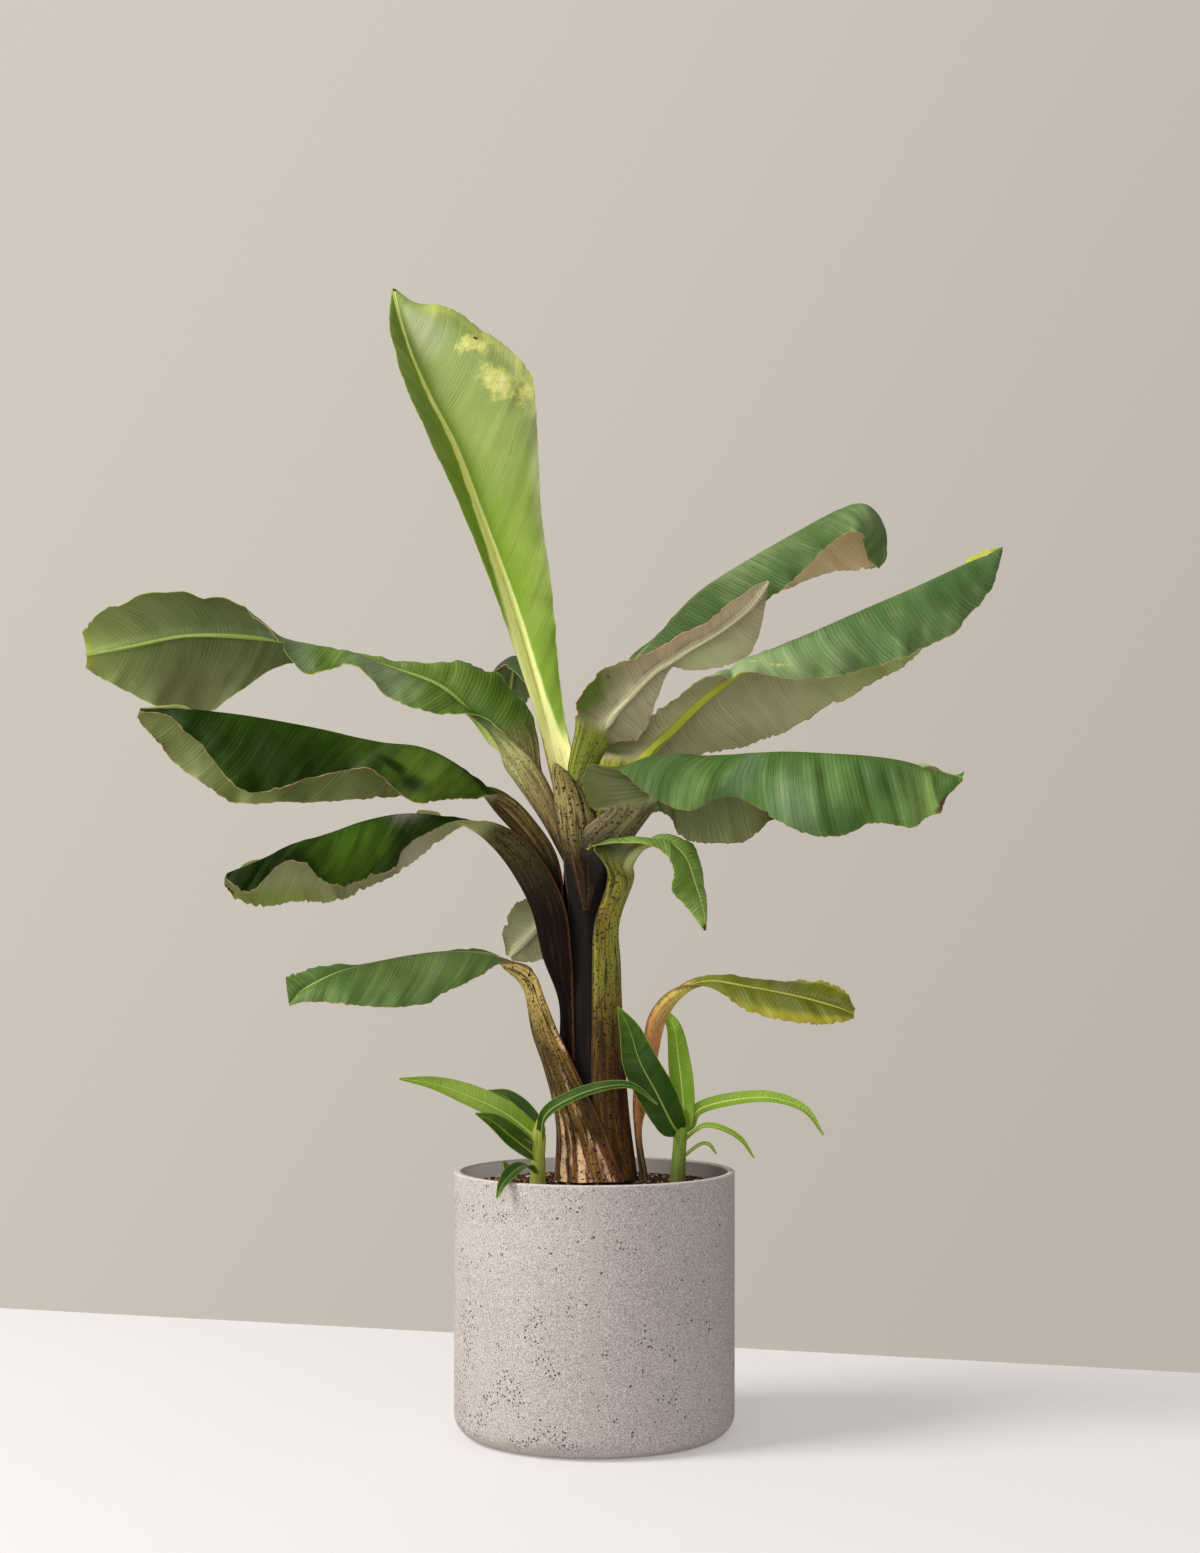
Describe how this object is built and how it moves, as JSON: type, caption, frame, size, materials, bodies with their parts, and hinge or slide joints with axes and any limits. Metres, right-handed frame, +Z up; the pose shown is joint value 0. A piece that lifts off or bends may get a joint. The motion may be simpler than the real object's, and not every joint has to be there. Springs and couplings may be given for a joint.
{
  "type": "potted banana plant",
  "caption": "Potted banana plant: arching broad leaves and an upright young leaf on a sheathed trunk, with side shoots, in a straight round stone pot.",
  "frame": {"origin": "centre of the pot's flat foot, on the surface that it stands on", "axes": "+Z up along the pot's axis, -Y the front that the plant shows, +X to the right seen from the front"},
  "size_m": [1.0027, 0.4732, 1.221],
  "materials": {
    "stone": "matt grey-taupe cast stone with fine grain and small pits",
    "soil": "rough dark potting soil with bark bits",
    "trunk": "dark brown dried sheath, satin",
    "young_leaf": "light green leaf, satin",
    "dark_leaf": "dark green leaf, waxy satin",
    "leaf": "green leaf, waxy satin",
    "old_leaf": "olive older leaf, dull satin",
    "pup_stem": "yellow-green stem, satin",
    "pup_leaf": "bright green leaf, satin",
    "pup_leaf_dark": "dark green small leaf, satin"
  },
  "bodies": {
    "root": {"pot": "stone", "soil": "soil", "pseudostem": "trunk", "leaf_spear": "young_leaf", "leaf_upper_left": "dark_leaf", "leaf_middle_left": "dark_leaf", "leaf_front_left": "dark_leaf", "leaf_rear": "dark_leaf", "leaf_low_left": "leaf", "leaf_rear_right": "leaf", "leaf_inner_right": "leaf", "leaf_long_right": "leaf", "leaf_front_right": "leaf", "leaf_curled_right": "leaf", "leaf_low_right": "old_leaf", "leaf_low_rear": "old_leaf", "left_pup_stem": "pup_stem", "right_pup_stem": "pup_stem", "left_pup_leaf_long": "pup_leaf", "left_pup_leaf_across": "pup_leaf", "right_pup_leaf_upright": "pup_leaf", "right_pup_leaf_arching": "pup_leaf", "right_pup_leaf_low": "pup_leaf", "right_pup_leaf_tiny": "pup_leaf", "left_pup_leaf_behind": "pup_leaf_dark", "left_pup_leaf_low": "pup_leaf_dark", "left_pup_leaf_rim": "pup_leaf_dark", "left_pup_leaf_tiny": "pup_leaf_dark", "right_pup_leaf_broad": "pup_leaf_dark"}
  },
  "joints": []
}
